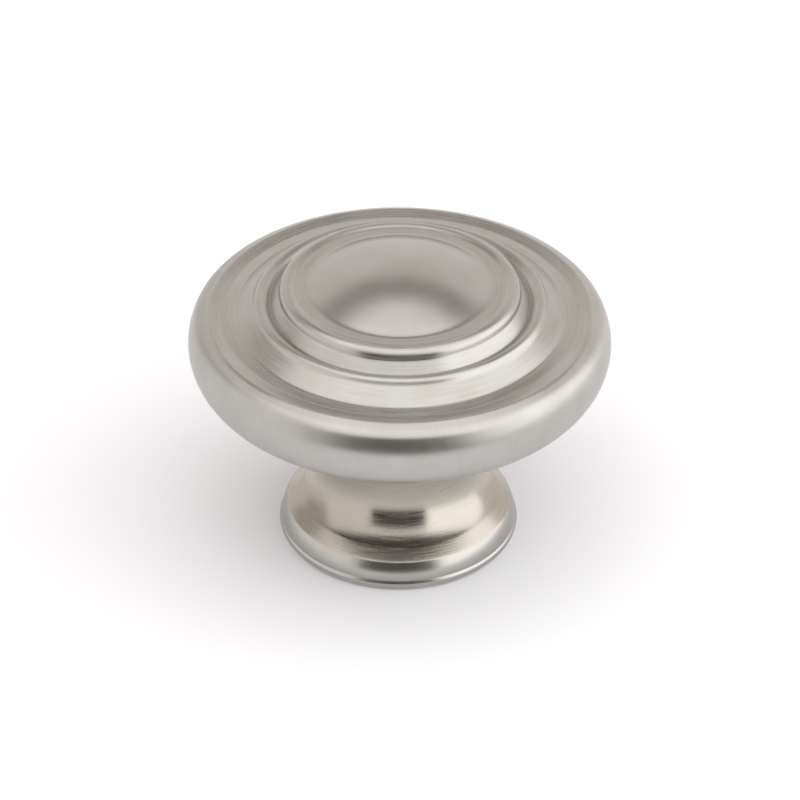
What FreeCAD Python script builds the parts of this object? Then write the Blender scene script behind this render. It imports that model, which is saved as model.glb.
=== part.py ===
import FreeCAD, Part
import math
import os

# Ringed cabinet knob in satin nickel, die-cast in one piece and tapped from below.
# Lengths are millimetres. The mounting face is z = 0 and the dome points to +Z.

# Slopes are the angle of the outward normal: 90 on a level top, 0 on an upright wall and
# over 90 where the surface rises away from the axis.

# head
head_radius = 16.5
knob_height = 24.23
underside_height = 14.68  # lowest point of the rim
dome_radius = 7.15
dome_rise = 1.6
land_width = 1.05         # flat lip round the dome
land_step = 0.36          # length of the slope from the land up to the first bead
land_step_slope = 116.0

# first ring: bead, short wall and a straight skirt down to the groove
first_bead_radius = 0.55
first_wall = 0.54
first_wall_slope = 12.0
first_skirt = 1.0
first_skirt_slope = 39.3

# second ring: swell out of the groove, bead, short wall, cove and a skirt down to the valley
second_swell_radius = 1.05
second_swell_slope = 140.0
second_bead_radius = 0.45
second_wall = 0.1
second_wall_slope = 25.0
second_cove_radius = 0.63
second_skirt = 1.57
second_skirt_slope = 55.5
valley_fillet = 0.35
valley_slope = 97.0       # the valley rises gently to the rim's crest

# rim section, from its crest out and down: flat top, shoulder, side and an underside roll
rim_crest_radius = 0.3
rim_top_width = 0.52
rim_top_slope = 64.6
rim_shoulder_radius = 1.32
rim_side_radius = 3.66
rim_side_slope = 28.3
rim_lower_slope = 45.0
rim_lower_radius = 1.2
underside_recess = 0.5    # hollow of the head's underside, above the lowest point of the rim

# neck, a trumpet under the head that narrows to the waist, then a cove and a cone down to the foot
trumpet_radius = 6.1
trumpet_slope = 65.0
flare_radius = 16.0
flare_slope = 12.0
waist_radius = 6.13
waist_height = 6.0
cove_radius = 2.75
cove_slope = 54.0

# foot
lip_radius = 9.0          # edge between the neck's cone and the wall
lip_height = 2.52
wall_width = 0.38
wall_height = 1.47
wall_bulge = 28.0
groove_height = 0.95
groove_depth = 0.03
bead_radius = 0.48
bead_slope = 50.0         # the same above and below the bead's middle

# blind hole tapped M4
thread_major = 4.0
tap_drill = 3.3
thread_depth = 11.5
drill_run_out = 1.5
drill_point_angle = 118.0
mouth_chamfer = 0.35


def on_circle(centre, radius, angle):
    # the angle is that of the outward normal, from +X towards +Z
    turn = math.radians(angle)
    return (centre[0] + radius * math.cos(turn), centre[1] + radius * math.sin(turn))


class Outline:
    # Half section in the XZ plane, drawn as a chain of lines and arcs.

    def __init__(self, r, z):
        self.at = (r, z)
        self.slope = 90.0
        self.edges = []

    def point(self, place):
        return FreeCAD.Vector(place[0], 0, place[1])

    def line_to(self, r, z):
        if math.dist(self.at, (r, z)) > 1e-4:
            self.edges.append(Part.LineSegment(self.point(self.at), self.point((r, z))).toShape())
            self.at = (r, z)

    def run(self, length, slope):
        # straight on for a length at a slope
        turn = math.radians(slope)
        self.line_to(self.at[0] + length * math.sin(turn), self.at[1] - length * math.cos(turn))
        self.slope = slope

    def roll(self, radius, slope):
        # smooth arc to a slope: a bulge where the slope falls, a hollow where it grows
        side = radius if slope < self.slope else -radius
        self.arc(on_circle(self.at, -side, self.slope), side, self.slope, slope)

    def arc(self, centre, radius, start, end):
        # joined by a line if the chain isn't there yet
        self.line_to(*on_circle(centre, radius, start))
        middle = on_circle(centre, radius, (start + end) / 2)
        last = on_circle(centre, radius, end)
        curve = Part.Arc(self.point(self.at), self.point(middle), self.point(last))
        self.edges.append(curve.toShape())
        self.at = last
        self.slope = end

    def bow_to(self, r, z, turn):
        # arc through a given end that turns by so many degrees, positive for a bulge
        chord = math.dist(self.at, (r, z))
        sagitta = chord / 2 * math.tan(math.radians(turn) / 4)
        across = ((self.at[1] - z) / chord, (r - self.at[0]) / chord)
        middle = ((self.at[0] + r) / 2 + across[0] * sagitta, (self.at[1] + z) / 2 + across[1] * sagitta)
        curve = Part.Arc(self.point(self.at), self.point(middle), self.point((r, z)))
        self.edges.append(curve.toShape())
        self.at = (r, z)

    def revolve(self):
        face = Part.Face(Part.Wire(self.edges))
        return face.revolve(FreeCAD.Vector(0, 0, 0), FreeCAD.Vector(0, 0, 1), 360)


# the rim is worked out from its side, which reaches the head's radius; where one arc goes on
# smoothly into the next, the two centres lie on one line through the joint
lower_reach = rim_side_radius - rim_lower_radius
rim_middle = underside_height + rim_lower_radius + lower_reach * math.sin(math.radians(rim_lower_slope))
side_centre = (head_radius - rim_side_radius, rim_middle)
shoulder_centre = on_circle(side_centre, rim_side_radius - rim_shoulder_radius, rim_side_slope)
top_end = on_circle(shoulder_centre, rim_shoulder_radius - rim_crest_radius, rim_top_slope)
crest_centre = on_circle(top_end, rim_top_width, rim_top_slope + 90)
lower_centre = on_circle(side_centre, lower_reach, -rim_lower_slope)


def draw_dome(outline):
    sphere = (dome_radius**2 + dome_rise**2) / (2 * dome_rise)
    edge_angle = math.degrees(math.acos(dome_radius / sphere))
    outline.arc((0, knob_height - sphere), sphere, 90, edge_angle)
    outline.run(land_width, 90)


def draw_first_ring(outline):
    outline.run(land_step, land_step_slope)
    outline.roll(first_bead_radius, first_wall_slope)
    outline.run(first_wall, first_wall_slope)
    outline.run(first_skirt, first_skirt_slope)


def draw_second_ring(outline):
    outline.slope = second_swell_slope
    outline.roll(second_swell_radius, 90)
    outline.roll(second_bead_radius, second_wall_slope)
    outline.run(second_wall, second_wall_slope)
    outline.roll(second_cove_radius, second_skirt_slope)
    outline.run(second_skirt, second_skirt_slope)


def draw_rim(outline):
    outline.roll(valley_fillet, valley_slope)
    outline.arc(crest_centre, rim_crest_radius, valley_slope, rim_top_slope)
    outline.arc(shoulder_centre, rim_shoulder_radius, rim_top_slope, rim_side_slope)
    outline.arc(side_centre, rim_side_radius, rim_side_slope, -rim_lower_slope)
    recess_turn = math.degrees(math.acos(1 - underside_recess / rim_lower_radius))
    outline.arc(lower_centre, rim_lower_radius, -rim_lower_slope, -90 - recess_turn)


def draw_neck(outline):
    # the trumpet and the flare are hollows, so their centres lie outside the metal
    flare_centre = (waist_radius + flare_radius, waist_height)
    trumpet_centre = on_circle(flare_centre, flare_radius - trumpet_radius, 180 - flare_slope)
    outline.arc(trumpet_centre, trumpet_radius, 180 - trumpet_slope, 180 - flare_slope)
    outline.arc(flare_centre, flare_radius, 180 - flare_slope, 180)
    outline.slope = 0
    outline.roll(cove_radius, cove_slope)
    outline.line_to(lip_radius, lip_height)


def draw_foot(outline):
    wall_foot = lip_radius + wall_width
    outline.bow_to(wall_foot, lip_height - wall_height, wall_bulge)
    outline.line_to(wall_foot - groove_depth, groove_height)
    outline.slope = bead_slope
    outline.roll(bead_radius, -bead_slope)
    outline.run(outline.at[1] / math.cos(math.radians(bead_slope)), -bead_slope)


def draw_tapped_hole(outline):
    bore = tap_drill / 2
    mouth = thread_major / 2 + mouth_chamfer
    hole_depth = thread_depth + drill_run_out
    outline.line_to(mouth, 0)
    outline.line_to(bore, mouth - bore)
    outline.line_to(bore, hole_depth)
    outline.line_to(0, hole_depth + bore / math.tan(math.radians(drill_point_angle / 2)))


def knob():
    outline = Outline(0, knob_height)
    draw_dome(outline)
    draw_first_ring(outline)
    draw_second_ring(outline)
    draw_rim(outline)
    draw_neck(outline)
    draw_foot(outline)
    draw_tapped_hole(outline)
    outline.line_to(0, knob_height)
    return outline.revolve()


os.makedirs("parts", exist_ok=True)
body = knob()
body.exportStep("parts/knob.step")
box = body.optimalBoundingBox(False)
print("knob valid", body.isValid(), "volume mm3", round(body.Volume, 1))
print("size mm", round(box.XLength, 2), round(box.YLength, 2), round(box.ZLength, 2))
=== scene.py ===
# Ringed cabinet knob in satin nickel: turned body with an M4 thread, lit by soft boxes on a white floor.
# Metres; the knob stands on z = 0 on the Z axis and the camera looks from -Y.
import bpy
import numpy as np
from mathutils import Matrix, Vector


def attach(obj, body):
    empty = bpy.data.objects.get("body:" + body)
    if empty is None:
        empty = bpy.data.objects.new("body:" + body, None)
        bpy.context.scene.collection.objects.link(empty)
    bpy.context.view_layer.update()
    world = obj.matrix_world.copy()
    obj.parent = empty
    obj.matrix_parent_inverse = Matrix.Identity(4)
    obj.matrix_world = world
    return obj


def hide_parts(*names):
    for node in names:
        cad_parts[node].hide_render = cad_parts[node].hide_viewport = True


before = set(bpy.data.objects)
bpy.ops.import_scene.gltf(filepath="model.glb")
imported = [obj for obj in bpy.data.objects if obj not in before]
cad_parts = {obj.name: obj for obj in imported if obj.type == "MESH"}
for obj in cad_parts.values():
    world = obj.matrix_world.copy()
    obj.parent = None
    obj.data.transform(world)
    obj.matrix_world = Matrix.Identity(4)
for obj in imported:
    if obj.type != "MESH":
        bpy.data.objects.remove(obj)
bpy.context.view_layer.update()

mm = 0.001
sampling = 0.01  # mm between the samples of an outline


def linear(hexColour):
    # sRGB hex to linear RGBA
    channels = np.array([int(hexColour[i:i + 2], 16) for i in (1, 3, 5)]) / 255.0
    low = channels / 12.92
    high = ((channels + 0.055) / 1.055) ** 2.4
    return tuple(np.where(channels <= 0.04045, low, high)) + (1.0,)


def addNode(tree, kind, settings={}, links={}):
    # a node with its properties, socket values and incoming links
    node = tree.nodes.new(kind)
    for key, value in settings.items():
        if isinstance(key, str) and hasattr(node, key):
            setattr(node, key, value)
        else:
            node.inputs[key].default_value = value
    for key, source in links.items():
        tree.links.new(source, node.inputs[key])
    return node


def newMaterial(name):
    material = bpy.data.materials.new(name)
    material.use_nodes = True
    material.node_tree.nodes.clear()
    return material


def onCircle(centre, radius, degrees):
    turn = np.radians(degrees)
    return np.array([centre[0] + radius * np.cos(turn), centre[1] + radius * np.sin(turn)])


knob = {
    # lengths in mm; a slope is the angle of the outward normal, 0 on an upright wall and 90 on a level top
    "headRadius": 16.49,         # a hair inside the faceted CAD model
    "height": 24.23,
    "undersideHeight": 14.68,
    "domeRadius": 7.15,
    "domeRise": 1.6,
    "domeFillet": 1.2,
    "landRadius": 8.2,           # outer edge of the flat land round the dome
    "landStep": (0.26, 110.0),   # length and slope of the rise to the first ring's bead
    "firstBead": 0.68,
    "firstWall": (0.2, 12.0),    # length and slope
    "firstCove": 0.2,
    "firstSkirt": (1.05, 41.5),
    "secondSwell": (1.05, 140.0),  # radius, and slope that it leaves the groove at
    "secondBead": 0.45,
    "secondWall": (0.1, 30.0),
    "secondCove": 0.63,
    "secondSkirt": (1.45, 55.5),
    "valleyFillet": 0.45,
    "valleyFloor": 91.0,         # slope
    "valleyRise": (1.0, 100.0),  # length and slope of the rise to the rim
    "rimCrest": 0.3,
    "rimTop": (0.52, 64.6),
    "rimShoulder": 1.32,
    "rimSide": (3.66, 28.3, 45.0),  # radius, slopes it starts and ends at
    "rimLower": 1.2,
    "rimEnd": -80.0,             # slope at which the rim's brushing gives way to the underside's
    "undersideRecess": 0.5,
    "trumpet": (6.1, 65.0),      # hollow under the head: radius, slope it ends at
    "flare": (8.0, 12.0),        # radius, and slope where the trumpet begins
    "waist": (5.95, 6.6),        # radius and height
    "cove": (4.0, 59.5),         # radius, and slope that it hands on to the cone
    "lip": (8.87, 2.43),         # radius and height
    "footWall": (0.51, 1.38, 24.0),  # width, height and bulge of the wall below the lip
    "grooveHeight": 0.95,
    "grooveDepth": 0.03,
    "footBead": (0.48, 50.0),    # radius, and slope above and below its middle
    "easing": 0.06,              # length of outline over which the polishing rounds an edge
    "turnSteps": 192,            # round the axis
    "outlineSteps": 410,
    "bendWeight": 0.35,          # mm of outline that a radian of turn counts for when rows are shared out
}

thread = {
    "major": 4.0,              # M4 coarse, mm
    "drill": 3.3,
    "pitch": 0.7,
    "depth": 11.5,
    "runOut": 1.5,
    "pointAngle": 118.0,
    "mouth": 0.35,
    "flank": (1.35, 0.1),      # steepness of the flanks and width of the flat at the root
    "stepsPerPitch": 6,
}


class Outline:
    # a chain of lines and arcs in the half plane (radius, height), kept as evenly spaced samples

    def __init__(self, r, z):
        self.points = [np.array([[r, z]])]
        self.slope = 90.0
        self.marks = {}

    def last(self):
        return self.points[-1][-1]

    def lineTo(self, r, z):
        start = self.last()
        count = max(2, int(np.hypot(r - start[0], z - start[1]) / sampling))
        share = np.linspace(0, 1, count + 1)[1:, None]
        self.points.append(start + share * (np.array([r, z]) - start))

    def run(self, length, slope):
        # straight on for a length at a slope
        turn = np.radians(slope)
        self.lineTo(*(self.last() + length * np.array([np.sin(turn), -np.cos(turn)])))
        self.slope = slope

    def roll(self, radius, slope):
        # arc that goes on smoothly until its slope is reached: a bulge where the slope falls, a hollow where
        # it grows
        side = radius if slope < self.slope else -radius
        centre = onCircle(self.last(), -side, self.slope)
        self.arc(centre, side, self.slope, slope)

    def arc(self, centre, radius, start, end):
        # round a centre from one slope to another, joined by a line where the chain isn't there yet
        first = onCircle(centre, radius, start)
        if np.hypot(*(first - self.last())) > sampling / 100:
            self.lineTo(*first)
        count = max(3, int(abs(np.radians(end - start) * radius) / sampling))
        turns = np.radians(np.linspace(start, end, count + 1)[1:])
        self.points.append(centre + radius * np.stack([np.cos(turns), np.sin(turns)], 1))
        self.slope = end

    def bowTo(self, r, z, turn):
        # arc to (r, z) that turns by so many degrees, positive for a bulge
        start = self.last()
        chord = np.hypot(r - start[0], z - start[1])
        half = np.radians(turn) / 2
        across = np.array([start[1] - z, r - start[0]]) / chord
        middle = (start + np.array([r, z])) / 2
        centre = middle - across * chord / 2 / np.tan(half)
        begin = np.degrees(np.arctan2(*(start - centre)[::-1]))
        radius = np.hypot(*(start - centre))
        self.arc(centre, radius, begin, begin - turn)

    def mark(self, name):
        # remembers how far along the chain a zone ends
        self.marks[name] = sum(len(part) for part in self.points)

    def samples(self):
        return np.concatenate(self.points)


def knobOutline(k, t):
    # half section from the dome's top over the rim and down the neck to the hole's mouth; where one arc
    # goes on smoothly into the next, both centres lie on one line through the joint
    side, sideTop, sideBottom = k["rimSide"]
    topWidth, topSlope = k["rimTop"]
    crest = k["rimCrest"]
    rise, riseSlope = k["valleyRise"]
    shoulder = k["rimShoulder"]
    lower = k["rimLower"]
    middle = k["undersideHeight"] + lower + (side - lower) * np.sin(np.radians(sideBottom))
    sideCentre = np.array([k["headRadius"] - side, middle])
    shoulderCentre = onCircle(sideCentre, side - shoulder, sideTop)
    crestCentre = onCircle(onCircle(shoulderCentre, shoulder - crest, topSlope), topWidth, topSlope + 90)
    lowerCentre = onCircle(sideCentre, side - lower, -sideBottom)

    outline = Outline(0, k["height"])
    sphere = (k["domeRadius"] ** 2 + k["domeRise"] ** 2) / (2 * k["domeRise"])
    sphereCentre = k["height"] - sphere
    land = k["height"] - k["domeRise"]
    fillet = k["domeFillet"]
    domeEnd = np.degrees(np.arcsin((land + fillet - sphereCentre) / (sphere + fillet)))
    outline.arc((0, sphereCentre), sphere, 90, domeEnd)
    outline.roll(fillet, 90)
    outline.mark("dome")
    outline.lineTo(k["landRadius"], land)
    outline.run(*k["landStep"])
    outline.roll(k["firstBead"], k["firstWall"][1])
    outline.run(*k["firstWall"])
    outline.roll(k["firstCove"], k["firstSkirt"][1])
    outline.run(*k["firstSkirt"])
    outline.slope = k["secondSwell"][1]
    outline.roll(k["secondSwell"][0], 90)
    outline.roll(k["secondBead"], k["secondWall"][1])
    outline.run(*k["secondWall"])
    outline.roll(k["secondCove"], k["secondSkirt"][1])
    outline.run(*k["secondSkirt"])
    outline.mark("rings")
    outline.roll(k["valleyFillet"], k["valleyFloor"])
    back = np.radians(riseSlope)
    riseEnd = onCircle(crestCentre, crest, riseSlope)
    outline.lineTo(*(riseEnd - rise * np.array([np.sin(back), -np.cos(back)])))
    outline.arc(crestCentre, crest, riseSlope, topSlope)
    outline.mark("trough")
    outline.arc(shoulderCentre, shoulder, topSlope, sideTop)
    outline.arc(sideCentre, side, sideTop, -sideBottom)
    recessTurn = np.degrees(np.arccos(1 - k["undersideRecess"] / lower))
    outline.arc(lowerCentre, lower, -sideBottom, k["rimEnd"])
    outline.mark("rim")
    outline.arc(lowerCentre, lower, k["rimEnd"], -90 - recessTurn)

    waist = np.array(k["waist"])
    flare, flareAngle = k["flare"]
    trumpet, trumpetAngle = k["trumpet"]
    flareCentre = waist + (flare, 0)
    trumpetCentre = onCircle(flareCentre, flare - trumpet, 180 - flareAngle)
    outline.arc(trumpetCentre, trumpet, 180 - trumpetAngle, 180 - flareAngle)
    outline.mark("underside")
    outline.arc(flareCentre, flare, 180 - flareAngle, 180)
    cove, coveAngle = k["cove"]
    outline.arc(waist + (cove, 0), cove, 180, 180 + coveAngle)
    lip, lipHeight = k["lip"]
    outline.lineTo(lip, lipHeight)
    outline.mark("neck")
    width, height, bulge = k["footWall"]
    outline.bowTo(lip + width, lipHeight - height, bulge)
    outline.lineTo(lip + width - k["grooveDepth"], k["grooveHeight"])
    bead, beadSlope = k["footBead"]
    outline.slope = beadSlope
    outline.roll(bead, -beadSlope)
    outline.run(outline.last()[1] / np.cos(np.radians(beadSlope)), -beadSlope)
    outline.mark("foot")
    outline.lineTo(t["major"] / 2 + t["mouth"], 0)
    outline.mark("base")
    return outline


def easedOutline(outline, width):
    # each point becomes the mean of its neighbours within a width, so edges turn into small fillets
    points = outline.samples()
    gaps = np.hypot(*np.diff(points, axis=0).T)
    travel = np.concatenate([[0], np.cumsum(gaps)])
    even = np.arange(0, travel[-1], sampling)
    r = np.interp(even, travel, points[:, 0])
    z = np.interp(even, travel, points[:, 1])
    reach = int(width / sampling)
    window = np.hanning(2 * reach + 3)[1:-1]
    window /= window.sum()
    mirrored = np.pad(r, reach, mode="reflect", reflect_type="odd")
    r = np.convolve(mirrored, window, mode="valid")
    mirrored = np.pad(z, reach, mode="reflect", reflect_type="odd")
    z = np.convolve(mirrored, window, mode="valid")
    marks = {name: travel[min(i, len(travel) - 1)] for name, i in outline.marks.items()}
    return even, np.stack([r, z], 1), marks


def chosenSteps(travel, points, count, bendWeight):
    # more rows where the outline bends: equal steps of length plus turn
    direction = np.unwrap(np.arctan2(*np.diff(points, axis=0).T))
    bend = np.concatenate([[0], np.abs(np.diff(direction)), [0]])
    measure = np.cumsum(sampling + bendWeight * bend)
    wanted = np.linspace(measure[0], measure[-1], count)
    rows = np.interp(wanted, measure, travel)
    return rows, np.stack([np.interp(rows, travel, points[:, i]) for i in (0, 1)], 1)


def knobBody(k, t):
    # rows follow the outline from the dome's top to the bottom of the hole, columns go round the axis;
    # in the hole the wall's radius is a triangle wave of height minus turn, which is the thread's helix
    travel, points, marks = easedOutline(knobOutline(k, t), k["easing"])
    rows, section = chosenSteps(travel, points, k["outlineSteps"], k["bendWeight"])
    start = t["major"] / 2 + t["mouth"]
    bore = t["drill"] / 2
    depth = t["depth"] + t["runOut"]
    heights = np.concatenate([
        np.linspace(0, t["depth"], int(t["depth"] / t["pitch"] * t["stepsPerPitch"]))[1:],
        [depth],
    ])
    turn = np.linspace(0, 2 * np.pi, k["turnSteps"], endpoint=False)
    outer = np.stack([
        section[:, 0:1] * np.cos(turn), section[:, 0:1] * np.sin(turn),
        np.repeat(section[:, 1:2], len(turn), 1),
    ], 2)
    # the flank is 0 at the thread's root and 1 at its crest
    steepness, rootFlat = t["flank"]
    phase = heights[:, None] / t["pitch"] - turn[None, :] / (2 * np.pi)
    wave = np.abs((phase % 1.0) * 2 - 1)
    flank = np.clip(wave * steepness - rootFlat, 0, 1)
    run = np.clip((t["depth"] + sampling - heights[:, None]) / t["pitch"], 0, 1)
    wall = bore + (t["major"] / 2 - bore) * (1 - flank) * run
    cone = start - heights[:, None]
    wall = np.maximum(wall, cone)
    inner = np.stack([
        wall * np.cos(turn), wall * np.sin(turn),
        np.repeat(heights[:, None], len(turn), 1),
    ], 2)
    grid = np.concatenate([outer[1:], inner]) * mm
    tip = depth + bore / np.tan(np.radians(t["pointAngle"] / 2))
    count, around = grid.shape[:2]
    vertices = np.concatenate([grid.reshape(-1, 3), [[0, 0, section[0, 1] * mm], [0, 0, tip * mm]]])
    index = np.arange(count * around).reshape(count, around)
    nextColumn = np.roll(index, -1, 1)
    quads = np.stack([index[:-1], index[1:], nextColumn[1:], nextColumn[:-1]], 2).reshape(-1, 4)
    topPole = np.full(around, count * around)
    fanTop = np.stack([topPole, index[0], nextColumn[0]], 1)
    fanTip = np.stack([topPole + 1, nextColumn[-1], index[-1]], 1)
    mesh = bpy.data.meshes.new("knob_body")
    mesh.from_pydata(vertices.tolist(), [], quads.tolist() + fanTop.tolist() + fanTip.tolist())
    rowTravel = np.concatenate([rows[1:], rows[-1] + heights])
    zoneOfQuad = rowTravel[:-1].repeat(around)
    zone = np.searchsorted([marks[name] for name in zoneOrder], zoneOfQuad)
    zone = np.concatenate([zone, np.zeros(around, int), np.full(around, len(zoneOrder))])
    mesh.polygons.foreach_set("material_index", zone.astype(np.int32))
    mesh.polygons.foreach_set("use_smooth", np.ones(len(mesh.polygons), bool))
    mesh.update()
    mesh.validate()
    return bpy.data.objects.new("knob_body", mesh)


# zones along the outline, each with a brushing of its own
zoneOrder = ["dome", "rings", "trough", "rim", "underside", "neck", "foot", "base"]

finish = {
    "colour": "#b8b7b4",
    "neckShadeColour": "#b3ada3",    # painted shade: the plate colour under the head and down the neck is browner and darker, standing in for the dim reflections there
    "dark": "#a6a39d",          # between the scratches
    "cast": "#4a443c",          # painted shade: a dark brown plate colour under the head in place of the shade that falls there
    "castRadius": (6.2, 8.4, 14.2, 15.3),  # mm, where the painted shade fades in and out under the head
    "scratch": 0.14,            # mm, width of a brush mark; finer ones would vanish in the photo's pixels
    "bump": 0.000007,           # m, depth that the marks seem to have
    "roundDrum": 0.5,           # mm, radius that round marks are drawn at: each is some 16 degrees long
    "acrossDrum": 16.0,         # mm, radius that marks across are drawn at, about the rim's
    "acrossStretch": 0.1,       # marks across run ten widths long
    "grainFineness": 0.7,       # of the plating's grain, against the scratches
    "cloud": (0.35, 0.8, -0.05),  # scale per mm, gain and offset of the patches where the dark shows more
    "swing": 0.12,              # how far the marks change the roughness
    # rotation is 0.25 for marks round the axis and 0 for marks across; the last three are depths
    "looks": ("roughness", "anisotropy", "rotation", "across", "round", "grain"),
    "dome": (0.27, 0.1, 0.0, 0.0, 0.1, 0.12),
    "rings": (0.32, 0.5, 0.25, 0.0, 2.2, 0.2),
    "trough": (0.3, 0.3, 0.25, 0.0, 2.0, 0.35),
    "rim": (0.36, 0.6, 0.0, 0.6, 0.0, 0.1),
    "underside": (0.3, 0.4, 0.25, 0.0, 1.8, 0.2),
    "neck": (0.24, 0.4, 0.25, 0.0, 2.2, 0.1),
    "foot": (0.26, 0.3, 0.0, 0.08, 0.25, 0.1),
    "base": (0.4, 0.0, 0.0, 0.0, 0.6, 0.4),
    "hole": (0.35, 0.0, 0.0, 0.0, 0.4, 0.2),
}


def brushedNickel(zone, f):
    # satin nickel plate over a brushed zinc casting: fine parallel scratches blur the reflections across
    # them, the plating bath leaves a sandy grain, and the metal down in the scratches is slightly browner
    look = dict(zip(f["looks"], f[zone]))
    material = newMaterial("satin_nickel_brushed_" + zone)
    tree = material.node_tree
    place = addNode(tree, "ShaderNodeTexCoord").outputs["Object"]
    inMm = addNode(tree, "ShaderNodeVectorMath", {"operation": "SCALE", "Scale": 1 / mm}, {0: place}).outputs[0]
    height = addNode(tree, "ShaderNodeSeparateXYZ", {}, {0: inMm}).outputs["Z"]
    flat = addNode(tree, "ShaderNodeVectorMath", {
        "operation": "MULTIPLY", 1: (1, 1, 0)}, {0: inMm}).outputs[0]
    radius = addNode(tree, "ShaderNodeVectorMath", {"operation": "LENGTH"}, {0: flat}).outputs["Value"]
    around = addNode(tree, "ShaderNodeVectorMath", {"operation": "NORMALIZE"}, {0: flat}).outputs[0]
    fineness = 1 / f["scratch"]

    # marks round the axis: noise over radius and height, slow along the turn's cosine and sine
    slow = addNode(tree, "ShaderNodeVectorMath", {
        "operation": "SCALE", "Scale": f["roundDrum"]}, {0: around}).outputs[0]
    turn = addNode(tree, "ShaderNodeSeparateXYZ", {}, {0: slow}).outputs
    roundPlace = addNode(tree, "ShaderNodeCombineXYZ", {}, {0: radius, 1: height, 2: turn["X"]}).outputs[0]
    roundMarks = addNode(tree, "ShaderNodeTexNoise", {
        "noise_dimensions": "4D", "Scale": fineness, "Detail": 3.0, "Roughness": 0.6,
    }, {"Vector": roundPlace, "W": turn["Y"]}).outputs[0]

    # marks across: noise round a drum of the head's size, slow along the height
    size, stretch = f["acrossDrum"], f["acrossStretch"]
    drum = addNode(tree, "ShaderNodeVectorMath", {
        "operation": "MULTIPLY", 1: (size, size, 0)}, {0: around}).outputs[0]
    rise = addNode(tree, "ShaderNodeVectorMath", {
        "operation": "MULTIPLY", 1: (0, 0, stretch)}, {0: inMm}).outputs[0]
    acrossPlace = addNode(tree, "ShaderNodeVectorMath", {"operation": "ADD"}, {0: drum, 1: rise}).outputs[0]
    acrossMarks = addNode(tree, "ShaderNodeTexNoise", {
        "Scale": fineness, "Detail": 3.0, "Roughness": 0.6}, {"Vector": acrossPlace}).outputs[0]
    grain = addNode(tree, "ShaderNodeTexNoise", {
        "Scale": fineness * f["grainFineness"], "Detail": 4.0, "Roughness": 0.7}, {"Vector": inMm}).outputs[0]
    cloudScale, cloudGain, cloudOffset = f["cloud"]
    cloud = addNode(tree, "ShaderNodeTexNoise", {
        "Scale": cloudScale, "Detail": 2.0}, {"Vector": inMm}).outputs[0]

    # the three patterns by their depths, about zero
    total = None
    for pattern, kind in ((roundMarks, "round"), (acrossMarks, "across"), (grain, "grain")):
        depth = look[kind]
        if depth:
            part = addNode(tree, "ShaderNodeMath", {
                "operation": "MULTIPLY_ADD", 1: depth, 2: -depth / 2}, {0: pattern})
            if total:
                part = addNode(tree, "ShaderNodeMath", {"operation": "ADD"}, {0: part.outputs[0], 1: total})
            total = part.outputs[0]
    roughness = addNode(tree, "ShaderNodeMath", {
        "operation": "MULTIPLY_ADD", 1: f["swing"], 2: look["roughness"]}, {0: total})
    cloudy = addNode(tree, "ShaderNodeMath", {
        "operation": "MULTIPLY_ADD", 1: cloudGain, 2: cloudOffset}, {0: cloud})
    darkness = addNode(tree, "ShaderNodeMath", {
        "operation": "SUBTRACT", "use_clamp": True}, {0: cloudy.outputs[0], 1: total})
    # painted shade: the neck and the underside take the browner, darker plate colour
    plate = f["neckShadeColour" if zone in ("neck", "underside") else "colour"]
    colour = addNode(tree, "ShaderNodeMix", {
        "data_type": "RGBA", 6: linear(plate), 7: linear(f["dark"])}, {0: darkness.outputs[0]}).outputs[2]
    # painted shade: a dark brown ring under the head, faded in and out by radius
    if zone == "underside":
        inner, full, fade, outer = f["castRadius"]
        fadeIn = addNode(tree, "ShaderNodeMapRange", {
            "interpolation_type": "SMOOTHSTEP", 1: inner, 2: full}, {0: radius})
        fadeOut = addNode(tree, "ShaderNodeMapRange", {
            "interpolation_type": "SMOOTHSTEP", 1: outer, 2: fade}, {0: radius})
        cast = addNode(tree, "ShaderNodeMath", {
            "operation": "MULTIPLY"}, {0: fadeIn.outputs[0], 1: fadeOut.outputs[0]})
        colour = addNode(tree, "ShaderNodeMix", {
            "data_type": "RGBA", 7: linear(f["cast"])}, {0: cast.outputs[0], 6: colour}).outputs[2]
    bump = addNode(tree, "ShaderNodeBump", {"Strength": 0.5, "Distance": f["bump"]}, {"Height": total})
    tangent = addNode(tree, "ShaderNodeTangent", {"direction_type": "RADIAL", "axis": "Z"})
    shader = addNode(tree, "ShaderNodeBsdfPrincipled", {
        "Metallic": 1.0, "Anisotropic": look["anisotropy"], "Anisotropic Rotation": look["rotation"],
    }, {
        "Base Color": colour, "Roughness": roughness.outputs[0],
        "Normal": bump.outputs[0], "Tangent": tangent.outputs[0],
    })
    addNode(tree, "ShaderNodeOutputMaterial", {}, {"Surface": shader.outputs[0]})
    return material


body = knobBody(knob, thread)
bpy.context.scene.collection.objects.link(body)
for zone in zoneOrder + ["hole"]:
    body.data.materials.append(brushedNickel(zone, finish))
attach(body, "root")
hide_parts("knob")
print("knob body", len(body.data.vertices), "vertices", len(body.data.polygons), "faces")


studio = {
    "paper": "#ecedf1",
    "paperLift": 0.04,            # how much lighter the camera and the metal see the paper
    "floorHalf": 3.0,             # m
    "backdrop": 1.0,              # brightness behind the floor's edge, where 1 is white
    "warmth": (0.0, 0.13, 0.26),  # what the dimmest light lacks of red, green and blue
    "warmUntil": 0.9,             # brightness at which a third of that warmth is left
    "cameraDark": ((0, -90, 35.5), (124, 71), 0.06),  # dark camera side: place and size in mm, brightness
}


def seenRays(tree):
    # 1 for rays from the camera and for those that metal or glass sends on
    path = addNode(tree, "ShaderNodeLightPath").outputs
    seen = path["Is Camera Ray"]
    for kind in ("Is Glossy Ray", "Is Transmission Ray"):
        seen = addNode(tree, "ShaderNodeMath", {"operation": "MAXIMUM"}, {0: seen, 1: path[kind]}).outputs[0]
    return seen


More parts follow.
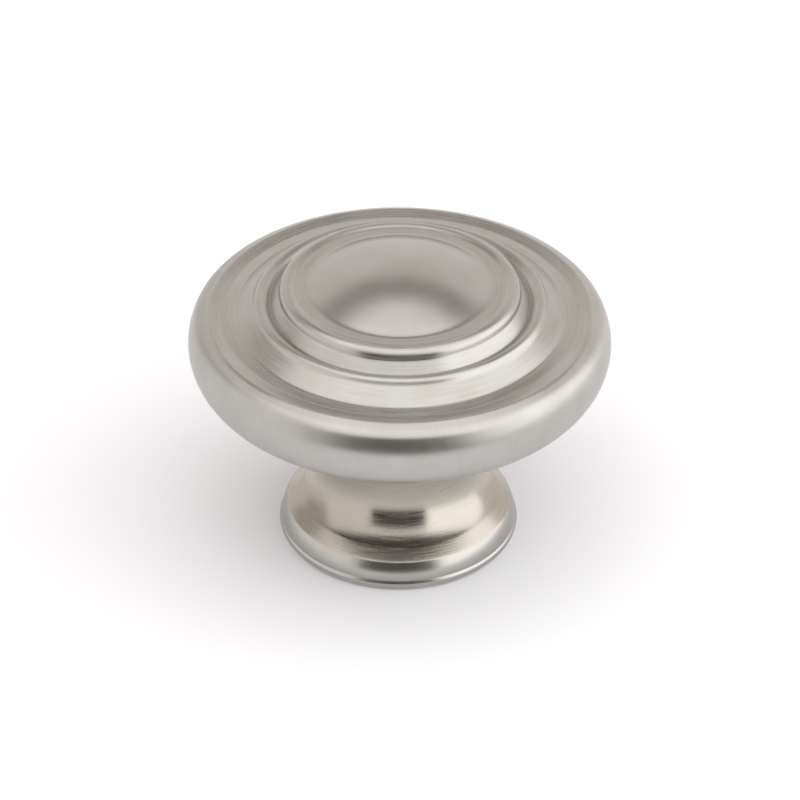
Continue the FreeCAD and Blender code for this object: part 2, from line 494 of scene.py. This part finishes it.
def floorMaterial():
    # matt white paper, so it shows a soft shadow and no gloss; camera and metal see it a little lighter
    material = newMaterial("white_paper_sweep")
    tree = material.node_tree
    paper = addNode(tree, "ShaderNodeBsdfDiffuse", {"Color": linear(studio["paper"])})
    lift = addNode(tree, "ShaderNodeEmission", {"Strength": studio["paperLift"]})
    both = addNode(tree, "ShaderNodeAddShader", {}, {0: paper.outputs[0], 1: lift.outputs[0]})
    mixed = addNode(tree, "ShaderNodeMixShader", {}, {
        0: seenRays(tree), 1: paper.outputs[0], 2: both.outputs[0]})
    addNode(tree, "ShaderNodeOutputMaterial", {}, {"Surface": mixed.outputs[0]})
    return material


def smooth(share):
    # from 0 to 1 with level ends: three squares less two cubes
    share = np.clip(share, 0, 1)
    return share * share * (3 - 2 * share)


def hiddenLight(name, vertices, faces, levels):
    # a panel that only lights and reflections see, with a brightness for each vertex; dim parts are warmer
    mesh = bpy.data.meshes.new(name)
    mesh.from_pydata((np.asarray(vertices) * mm).tolist(), [], faces)
    luminance = np.array([0.2126, 0.7152, 0.0722])
    tint = 1 - np.exp(-levels / studio["warmUntil"])[:, None] * np.array(studio["warmth"])
    tint /= (tint @ luminance)[:, None]
    colours = np.concatenate([tint * levels[:, None], np.ones((len(levels), 1))], 1)
    glow = mesh.attributes.new("glow", "FLOAT_COLOR", "POINT")
    glow.data.foreach_set("color", colours.ravel())
    panel = bpy.data.objects.new(name, mesh)
    material = newMaterial(name)
    tree = material.node_tree
    colour = addNode(tree, "ShaderNodeAttribute", {"attribute_name": "glow"})
    shine = addNode(tree, "ShaderNodeEmission", {"Strength": 1.0}, {"Color": colour.outputs["Color"]})
    addNode(tree, "ShaderNodeOutputMaterial", {}, {"Surface": shine.outputs[0]})
    mesh.materials.append(material)
    bpy.context.scene.collection.objects.link(panel)
    panel.visible_camera = False
    panel.visible_shadow = False
    return panel


tent = {
    "radius": 700.0,  # mm
    "columns": 120,
    "rows": 31,
    "room": 1.05,     # brightness of the bare cloth, where 1 is white
    "fade": 8.0,      # degrees
    # each box: degrees round from the camera's side by the right, degrees up, brightness
    "boxes": {
        "backWall": ((118, 250), (-10, 44), 0.92),
        "backGap": ((120, 250), (44, 60), 0.25),
        "leftGap": ((230, 260), (16, 48), 0.55),
        "left": ((262, 322), (-10, 50), 1.15),
        "right": ((38, 118), (-10, 52), 2.05),
        "top": ((-120, 120), (50, 95), 1.66),
        "front": ((-38, 38), (38, 52), 1.4),
        "topBack": ((120, 240), (62, 95), 1.3),
    },
}


def lightTent(t):
    # a round tent over the knob with soft boxes sewn in, whose edges fade over a few degrees
    turn, rise = np.meshgrid(
        np.linspace(0, 2 * np.pi, t["columns"], endpoint=False), np.linspace(0, np.pi / 2, t["rows"]))
    levels = np.full(turn.shape, t["room"])
    for (first, last), (low, high), level in t["boxes"].values():
        off = np.abs((np.degrees(turn) - (first + last) / 2 + 180) % 360 - 180)
        across = smooth(((last - first) / 2 - off) / t["fade"] + 0.5)
        up = np.degrees(rise)
        inside = across * smooth((up - low) / t["fade"] + 0.5) * smooth((high - up) / t["fade"] + 0.5)
        levels += (level - levels) * inside
    levels[-1] = levels[-1].mean()  # the top row is one place
    places = t["radius"] * np.stack([
        np.sin(turn) * np.cos(rise), -np.cos(turn) * np.cos(rise), np.sin(rise)], 2)
    index = np.arange(turn.size).reshape(turn.shape)
    right = np.roll(index, -1, 1)
    faces = np.stack([index[:-1], right[:-1], right[1:], index[1:]], 2).reshape(-1, 4)
    return hiddenLight("lightTent", places.reshape(-1, 3), faces.tolist(), levels.ravel())


half = studio["floorHalf"]
floorMesh = bpy.data.meshes.new("floor")
floorCorners = [(-half, -half, 0), (half, -half, 0), (half, half, 0), (-half, half, 0)]
floorMesh.from_pydata(floorCorners, [], [(0, 1, 2, 3)])
floor = bpy.data.objects.new("floor", floorMesh)
bpy.context.scene.collection.objects.link(floor)
floorMesh.materials.append(floorMaterial())
print("floor laid")

world = bpy.data.worlds.new("studio")
bpy.context.scene.world = world
world.use_nodes = True
tree = world.node_tree
tree.nodes.clear()
room = addNode(tree, "ShaderNodeBackground", {"Strength": tent["room"]})
backdrop = addNode(tree, "ShaderNodeBackground", {"Strength": studio["backdrop"]})
for background in (room, backdrop):
    background.inputs["Color"].default_value = (1, 1, 1, 1)
mixed = addNode(tree, "ShaderNodeMixShader", {}, {
    0: seenRays(tree), 1: room.outputs[0], 2: backdrop.outputs[0]})
addNode(tree, "ShaderNodeOutputWorld", {}, {"Surface": mixed.outputs[0]})

lightTent(tent)
(x, y, z), (width, tall), level = studio["cameraDark"]
corners = [(x + i * width / 2, y, z + j * tall / 2) for i, j in ((-1, -1), (1, -1), (1, 1), (-1, 1))]
cameraDark = hiddenLight("cameraDark", corners, [(0, 1, 2, 3)], np.full(4, level))
cameraDark.visible_diffuse = False
print("tent and dark card hung")


view = {
    "lens": 180.0,
    "elevation": 35.2,             # degrees, the photo's angle
    "distance": 315.4,             # mm
    "target": (0.06, 0.0, 11.76),  # mm
    "roll": 0.45,                  # degrees
}


def addCamera(v):
    data = bpy.data.cameras.new("camera")
    data.lens = v["lens"]
    data.sensor_width = 36.0
    data.clip_start = 0.01
    data.clip_end = 20.0
    camera = bpy.data.objects.new("camera", data)
    tilt = np.radians(v["elevation"])
    roll = np.radians(v["roll"])
    back = np.array([0.0, -np.cos(tilt), np.sin(tilt)])
    right = np.array([1.0, 0.0, 0.0])
    up = np.cross(back, right)
    rolledRight = right * np.cos(roll) + up * np.sin(roll)
    rolledUp = np.cross(back, rolledRight)
    place = (np.array(v["target"]) + back * v["distance"]) * mm
    axes = Matrix(np.stack([rolledRight, rolledUp, back], 1).tolist())
    camera.matrix_world = Matrix.Translation(Vector(place)) @ axes.to_4x4()
    bpy.context.scene.collection.objects.link(camera)
    bpy.context.scene.camera = camera


addCamera(view)
print("camera placed")
bpy.context.scene.view_settings.view_transform = "Standard"
